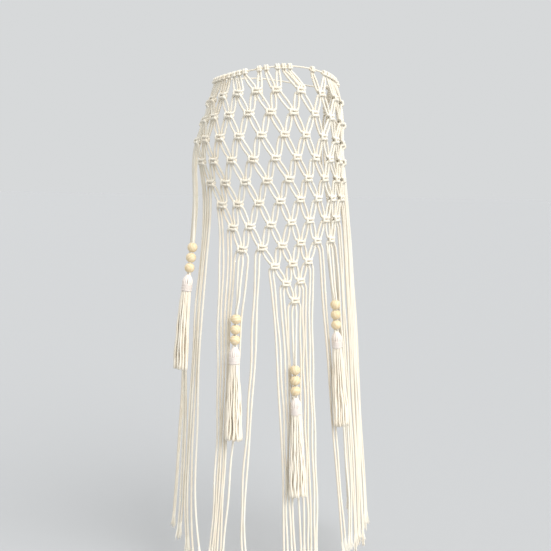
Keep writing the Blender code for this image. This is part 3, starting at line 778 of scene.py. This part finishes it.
def cotton(name, crest, shade_and_fibre_colour, yarn_across, sheen):
    """Spun cotton: matt and slightly downy, with fibres along each yarn. The grooves between the yarns
    are darkened with painted shade, tone shifts each cord a little, and patches of a few centimetres are
    warmer."""
    material, tree, shader = new_material(name)
    uv = add_node(tree, "ShaderNodeUVMap", {"uv_map": "lay"})
    place = add_node(tree, "ShaderNodeTexCoord")
    # attribute of painted shade, dark in the grooves between the yarns
    groove = add_node(tree, "ShaderNodeAttribute", {"attribute_name": "groove"})
    tone = add_node(tree, "ShaderNodeAttribute", {"attribute_name": "tone"})
    stretch = add_node(
        tree, "ShaderNodeMapping",
        {"Scale": (yarn_across, FIBRES_ALONG, 1.0)},
        {"Vector": uv.outputs["UV"]},
    )
    fibres = add_node(
        tree, "ShaderNodeTexNoise",
        {"Scale": 1.0, "Detail": 3.0, "Roughness": 0.6},
        {"Vector": stretch.outputs["Vector"]},
    )
    patches = add_node(
        tree, "ShaderNodeTexNoise",
        {"Scale": PATCHES, "Detail": 2.0},
        {"Vector": place.outputs["Object"]},
    )
    shade = add_node(
        tree, "ShaderNodeMath",
        {"operation": "MULTIPLY_ADD", 1: GROOVE_SHADE, 2: 0.0},
        {0: groove.outputs["Fac"]},
    )
    deeper = add_node(
        tree, "ShaderNodeMath",
        {"operation": "MULTIPLY_ADD", 1: FIBRE_SHADE},
        {0: fibres.outputs["Fac"], 2: shade.outputs["Value"]},
    )
    colour = add_node(
        tree, "ShaderNodeMix",
        {"data_type": "RGBA", 6: linear(crest), 7: linear(shade_and_fibre_colour)},
        {0: deeper.outputs["Value"]},
    )
    warm = add_node(
        tree, "ShaderNodeMath",
        {"operation": "MULTIPLY_ADD", 1: 0.5},
        {0: tone.outputs["Fac"], 2: patches.outputs["Fac"]},
    )
    warmer = add_node(
        tree, "ShaderNodeMapRange",
        {"From Min": 0.45, "From Max": 1.05, "To Min": 0.0, "To Max": 0.5},
        {"Value": warm.outputs["Value"]},
    )
    toned = add_node(
        tree, "ShaderNodeMix",
        {"data_type": "RGBA", "blend_type": "MULTIPLY", 7: linear("#f6ecdf")},
        {0: warmer.outputs["Result"], 6: colour.outputs[2]},
    )
    tree.links.new(toned.outputs[2], shader.inputs["Base Color"])
    bump = add_node(
        tree, "ShaderNodeBump",
        {"Strength": 0.35, "Distance": 0.0002},
        {"Height": fibres.outputs["Fac"]},
    )
    tree.links.new(bump.outputs["Normal"], shader.inputs["Normal"])
    shader.inputs["Roughness"].default_value = 0.93
    shader.inputs["Specular IOR Level"].default_value = 0.25
    shader.inputs["Sheen Weight"].default_value = sheen
    shader.inputs["Sheen Roughness"].default_value = 0.6
    return material


def turned_beech():
    """Beech turned and left bare: pale straw wood with growth lines and short darker flecks, dull but
    for a soft gleam where the lathe smoothed it."""
    material, tree, shader = new_material("turned_beech")
    grain = add_node(tree, "ShaderNodeAttribute", {"attribute_name": "grain"})
    wobble = add_node(
        tree, "ShaderNodeTexNoise",
        {"Scale": 70.0, "Detail": 2.0},
        {"Vector": grain.outputs["Vector"]},
    )
    bent = add_node(
        tree, "ShaderNodeMix",
        {"data_type": "RGBA", "blend_type": "LINEAR_LIGHT", 0: 0.004},
        {6: grain.outputs["Vector"], 7: wobble.outputs["Color"]},
    )
    rings = add_node(
        tree, "ShaderNodeTexWave",
        {
            "wave_type": "RINGS", "rings_direction": "Y",
            "Scale": WOOD_RINGS, "Distortion": 0.6, "Detail": 2.0,
        },
        {"Vector": bent.outputs[2]},
    )
    stretch = add_node(
        tree, "ShaderNodeMapping",
        {"Scale": WOOD_FLECKS},
        {"Vector": grain.outputs["Vector"]},
    )
    flecks = add_node(
        tree, "ShaderNodeTexNoise",
        {"Scale": 1.0, "Detail": 2.0},
        {"Vector": stretch.outputs["Vector"]},
    )
    fleck = add_node(
        tree, "ShaderNodeMapRange",
        {"From Min": 0.58, "From Max": 0.72, "To Min": 0.0, "To Max": 0.55},
        {"Value": flecks.outputs["Fac"]},
    )
    wood = add_node(
        tree, "ShaderNodeMix",
        {"data_type": "RGBA", 6: linear("#f0dfbd"), 7: linear("#e6cea3")},
        {0: rings.outputs["Fac"]},
    )
    marked = add_node(
        tree, "ShaderNodeMix",
        {"data_type": "RGBA", 7: linear("#c9a679")},
        {0: fleck.outputs["Result"], 6: wood.outputs[2]},
    )
    tree.links.new(marked.outputs[2], shader.inputs["Base Color"])
    bump = add_node(
        tree, "ShaderNodeBump",
        {"Strength": 0.15, "Distance": 0.0002},
        {"Height": flecks.outputs["Fac"]},
    )
    tree.links.new(bump.outputs["Normal"], shader.inputs["Normal"])
    shader.inputs["Roughness"].default_value = 0.52
    return material


# each cotton's second colour is the painted shade in its grooves and the colour of its darker fibres
CORD_COTTON = cotton("laid_cord_cotton", "#fdfaf0", "#e9dfca", 9.0, 0.20)
WAIST_COTTON = cotton("waist_cord_cotton", "#fbf7ec", "#e2d8c2", 9.0, 0.20)
SKIRT_COTTON = cotton("tassel_skirt_cotton", "#fdf7ea", "#e0d2b8", 5.0, 0.25)
BOUND_COTTON = cotton("tassel_binding_cotton", "#f9f1eb", "#cdbcaf", 5.0, 0.25)
BEECH = turned_beech()


# Net and fringe

net = {"right": Strands(), "left": Strands()}
fringe = {"right": Strands(), "left": Strands(), "drops": Strands()}
lays = {lay[:2]: lay for lay in FRINGE}
drops = {drop[1:3]: drop for drop in DROPS}


def working_end(head_column, places, head, leg):
    """One end of a folded cord, through the net and on to its frayed tip or into a tassel. At a knot
    with fringe and a drop, its two inner cords go into the drop. Without fringe, all of them do."""
    points, middles, knot, cell = follow(float(head_column), places, head, leg)
    half = net["right" if head_column + (head - 0.5) / 2 < 0.0 else "left"]
    tone = rng.random()
    has_fringe = knot in lays
    if knot in drops and (cell in (1, 2) or not has_fringe):
        on_the_right = cell % 2 == (1 if has_fringe else 0)
        way = drop_cord(points[-1], drops[knot], -1 if on_the_right else 1)
        way = np.concatenate((points, way))
        laid_cord((half, fringe["drops"]), way, tone=tone, cut=len(points) - 1, knots=middles)
        return
    if knot in drops:
        order, outward = (0, -1) if cell == 0 else (1, 1)
    else:
        order, outward = cell % 2, math.copysign(1, knot[1])
    way = np.concatenate((points, strand(points[-1], lays[knot], order, outward)))
    below = fringe["right" if knot[1] < 0 or (knot[1] == 0 and cell < 2) else "left"]
    line = laid_cord((half, below), way, tone=tone, cut=len(points) - 1, knots=middles)
    fray(below, line, BRUSH, tone)


for head_column, *places in HEADS:
    for head in (0, 1):
        for leg in (0, 1):
            working_end(head_column, places, head, leg)

cloths, hangs_on = {}, {"right": [], "left": []}
for side in ("right", "left"):
    piece = net[side].finish(f"net_{side}_cords", CORD_COTTON)
    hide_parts(f"net_{side}")
    cloths[side] = piece
    piece = fringe[side].finish(f"fringe_{side}_strands", CORD_COTTON)
    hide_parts(*[name for name in nodes if name.startswith(f"fringe_{side}")])
    if side == "right":
        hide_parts("fringe_point")
    hangs_on[side].append(piece)
piece = fringe["drops"].finish("drop_cords", CORD_COTTON)
hangs_on["right"].append(piece)

# Waist cord and its tie

WAIST_POINTS = 120
TIE_REACH = 0.014           # from the middle of the tie to where the waist cord's ring ends
waist = Strands()
point, along, up, out = waist_frame(math.pi)
ring_end = math.pi - TIE_REACH / float(read(FORM, 0.0, 1))
laid_cord(waist, waist_line(np.linspace(-ring_end, ring_end, WAIST_POINTS)), WAIST_RADIUS)
piece = waist.finish("waist_cord_laid", WAIST_COTTON)
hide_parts("waist_cord")
hangs_on["right"].append(piece)
tie = Strands()
for way in ((1.0, 1.0, 1.0), (-1.0, 1.0, -1.0)):
    laid_cord(tie, placed(np.array(TIE_CORD) * way, point, along, up, out), WAIST_RADIUS)
piece = tie.finish("waist_tie", WAIST_COTTON)
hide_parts("tie_knot")
hangs_on["right"].append(piece)


# Drops


def bead_piece(name, drop, order):
    """Turned bead: a ball's profile from one eased rim of its hole to the other, and the hole's wall,
    carried round the drop's axis. The grain attribute is the place in the bead, turned at random."""
    down = order * (BEAD + SEAM)
    point, across, _, _ = drop_frame(drop, np.array(down))
    ends = drop_frame(drop, np.array((down - BEAD / 2, down + BEAD / 2)))[0]
    up = unit(ends[0] - ends[1])
    out = unit(np.cross(across, up))
    across = np.cross(up, out)
    ball, hole = BEAD / 2, BEAD_HOLE / 2
    ease_out, ease_down = BEAD_EASE
    rim = math.acos((hole + ease_out) / ball)
    outer = np.linspace(-rim, rim, BEAD_ARC)
    wall = ball * math.sin(rim) - ease_down
    profile = np.concatenate((
        np.stack((ball * np.cos(outer), ball * np.sin(outer)), axis=1),
        np.stack((np.full(BEAD_WALL, hole), np.linspace(wall, -wall, BEAD_WALL)), axis=1),
    ))
    turns = math.tau * np.arange(BEAD_SIDES) / BEAD_SIDES
    reach, rise = profile[:, 0][:, None], profile[:, 1][:, None]
    local = np.stack((reach * np.cos(turns), reach * np.sin(turns), rise + 0 * turns), axis=-1)
    points = point + local[..., :1] * across + local[..., 1:2] * out + local[..., 2:] * up
    rows, sides = local.shape[:2]
    i, j = np.meshgrid(np.arange(rows), np.arange(sides), indexing="ij")
    here, below, after = i * sides, (i + 1) % rows * sides, (j + 1) % sides
    quads = np.stack((here + j, here + after, below + after, below + j), axis=-1)
    mesh = bpy.data.meshes.new(name)
    mesh.from_pydata(points.reshape(-1, 3).tolist(), [], quads.reshape(-1, 4)[:, ::-1].tolist())
    mesh.shade_smooth()
    mesh.set_sharp_from_angle(angle=math.radians(BEAD_SHARP))
    spin = np.linalg.qr(rng.normal(size=(3, 3)))[0]
    in_wood = local.reshape(-1, 3) @ spin + rng.uniform(-GRAIN_SHIFT, GRAIN_SHIFT, 3)
    grain = mesh.attributes.new("grain", "FLOAT_VECTOR", "POINT")
    grain.data.foreach_set("vector", in_wood.astype(np.float32).ravel())
    mesh.materials.append(BEECH)
    thing = bpy.data.objects.new(name, mesh)
    bpy.context.scene.collection.objects.link(thing)
    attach(thing, "root")
    return thing


def down_drop(drop, down, x, z):
    """Points off a drop's axis: across by x and out by z, at lengths below its first bead's middle."""
    point, across, _, out = drop_frame(drop, down)
    return point + across * np.asarray(x)[..., None] + out * np.asarray(z)[..., None]


def tassel_head(drop, top):
    """Strands folded over a dome, and a helix of thread wound round them."""
    head = Strands()
    down, reach = np.array(DOME).T
    for k in range(DOME_STRANDS):
        turn = math.tau * (k + DOME_JITTER * rng.random()) / DOME_STRANDS
        line = curve_through(down_drop(drop, top + down, reach * math.cos(turn), reach * math.sin(turn)), 3)
        along = np.linspace(0, HEAD_LENGTH, len(line))
        head.add(plain_rings(line, DOME_STRAND), along, 0.0, DOME_TONE + DOME_TONE * rng.random())
    start, end, turns = WRAP
    waver, often = WRAP_WAVER
    angle = np.linspace(0.0, math.tau * turns, WRAP_POINTS * turns + 1)
    reach = WRAP_REACH + waver * np.sin(angle * often)
    down = top + start + (end - start) * angle / angle[-1]
    line = down_drop(drop, down, reach * np.sin(angle), reach * np.cos(angle))
    head.add(plain_rings(line, WRAP_THREAD), angle * WRAP_RUN, WRAP_PAINTED_SHADE, WRAP_TONE)
    return head


def tassel_skirt(drop, top):
    """Rings of strands whose reach grows with one less the remaining way to a power, and which get
    flatter front to back on the way."""
    skirt = Strands()
    length = drop[4] - drop[6] - top - HEAD_LENGTH
    t = np.linspace(0.0, 1.0, SKIRT_POINTS)
    opened = 1 - (1 - t) ** SKIRT_POWER
    flat = 1 + (SKIRT_FLAT - 1) * opened
    for count, far in SKIRT_RINGS:
        for k in range(count):
            turn = math.tau * (k + SKIRT_JITTER * rng.random()) / count
            reach = SKIRT_START + (SKIRT_END - SKIRT_START) * opened
            reach = far * reach * rng.uniform(*SKIRT_REACHES)
            turns = turn + rng.uniform(-SKIRT_TWIST, SKIRT_TWIST) * t
            fall = (length + SKIRT_PAST) * rng.uniform(*SKIRT_LENGTHS)
            sway, swing = (
                SKIRT_WAVE * np.sqrt(t) * np.sin(math.tau * (rng.uniform(*SKIRT_WAVES) * t + rng.random()))
                for _ in range(2)
            )
            down = top + HEAD_LENGTH - SKIRT_ROOT + (fall + SKIRT_ROOT) * t
            x = reach * np.cos(turns) + sway
            z = reach * np.sin(turns) * flat + SWING_SHARE * swing
            rings = plain_rings(down_drop(drop, down, x, z), SKIRT_STRAND + SKIRT_THICKENS * t, SKIRT_UNEVEN)
            skirt.add(rings, t * length, SKIRT_PAINTED_SHADE, rng.random())
    return skirt


def tassel_piece(name, drop):
    """Tassel of a drop, just under its third bead: a bound head and the skirt that hangs from it."""
    binding = tassel_head(drop, HEAD_TOP + SEAM)
    strands = tassel_skirt(drop, HEAD_TOP + SEAM)
    skirt = strands.finish(f"{name}_skirt", SKIRT_COTTON)
    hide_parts(name)
    head = binding.finish(f"{name}_head", BOUND_COTTON)
    return [skirt, head]


for drop in DROPS:
    side = "left" if drop[2] > 0 else "right"
    for order in range(3):
        piece = bead_piece(f"beech_bead_{drop[0]}_{order + 1}", drop, order)
        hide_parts(f"bead_{drop[0]}_{order + 1}")
        hangs_on[side].append(piece)
    hangs_on[side] += tassel_piece(f"tassel_{drop[0]}", drop)

# Stage, light and camera


def flat_material(name, colour, roughness):
    material, _, shader = new_material(name)
    shader.inputs["Base Color"].default_value = linear(colour)
    shader.inputs["Roughness"].default_value = roughness
    return material


FLOOR = -1.03
FLOOR_HALF = 60
floor_corners = [(x * FLOOR_HALF, y * FLOOR_HALF, FLOOR) for x, y in ((-1, -1), (1, -1), (1, 1), (-1, 1))]
floor_mesh = bpy.data.meshes.new("floor")
floor_mesh.from_pydata(floor_corners, [], [(0, 1, 2, 3)])
floor_mesh.materials.append(flat_material("studio_floor", "#b4b5b6", 0.9))
floor = bpy.data.objects.new("floor", floor_mesh)
bpy.context.scene.collection.objects.link(floor)


def aim(thing, place, target):
    """Puts a light or camera at a place, looking at a target, with its top up."""
    thing.location = place
    ahead = unit(np.array(target, float) - np.array(place, float))
    side = unit(np.cross(ahead, (0, 0, 1)))
    turned(thing, side, np.cross(side, ahead), ahead)


def turned(thing, side, up, ahead):
    """Turns a thing so that it looks ahead with these directions to its side and up."""
    thing.rotation_euler = Matrix(np.stack((side, up, -np.asarray(ahead)), axis=1).tolist()).to_euler()


LIGHTS = (                  # name, place, strength and spread in degrees
    ("key", (1.1, -2.4, 1.7), 2.9, 50),
    ("back", (-1.2, 2.0, 1.6), 0.7, 60),
)
LIT = (0.0, 0.0, -0.45)     # where they look
SKY_STRENGTH = 0.92
for name, place, power, spread in LIGHTS:
    light = bpy.data.lights.new(name, "SUN")
    light.energy, light.angle = power, math.radians(spread)
    lamp = bpy.data.objects.new(name, light)
    bpy.context.scene.collection.objects.link(lamp)
    aim(lamp, place, LIT)
world = bpy.data.worlds.new("studio")
world.use_nodes = True
world.node_tree.nodes["Background"].inputs["Color"].default_value = linear("#dfe1e2")
world.node_tree.nodes["Background"].inputs["Strength"].default_value = SKY_STRENGTH
bpy.context.scene.world = world
bpy.context.scene.view_settings.view_transform = "Standard"

# Camera, from the photograph's view: place, heading, pitch and roll, then sensor width and focal length
# in millimetres
CAMERA_PLACE = (-0.575, -1.686, -0.226)
HEADING, PITCH, ROLL = math.radians(-19.05), math.radians(-5.95), math.radians(1.2)
SENSOR = 36.0
LENS = 56.5
camera = bpy.data.objects.new("camera", bpy.data.cameras.new("camera"))
bpy.context.scene.collection.objects.link(camera)
bpy.context.scene.camera = camera
camera.data.sensor_width = SENSOR
camera.data.lens = LENS
camera.location = CAMERA_PLACE
level = np.array((-math.sin(HEADING), math.cos(HEADING), 0.0))
right = np.array((math.cos(HEADING), math.sin(HEADING), 0.0))
ahead = level * math.cos(PITCH) + np.array((0, 0, 1)) * math.sin(PITCH)
above = -level * math.sin(PITCH) + np.array((0, 0, 1)) * math.cos(PITCH)
turned(camera, right * math.cos(ROLL) + above * math.sin(ROLL),
       -right * math.sin(ROLL) + above * math.cos(ROLL), ahead)
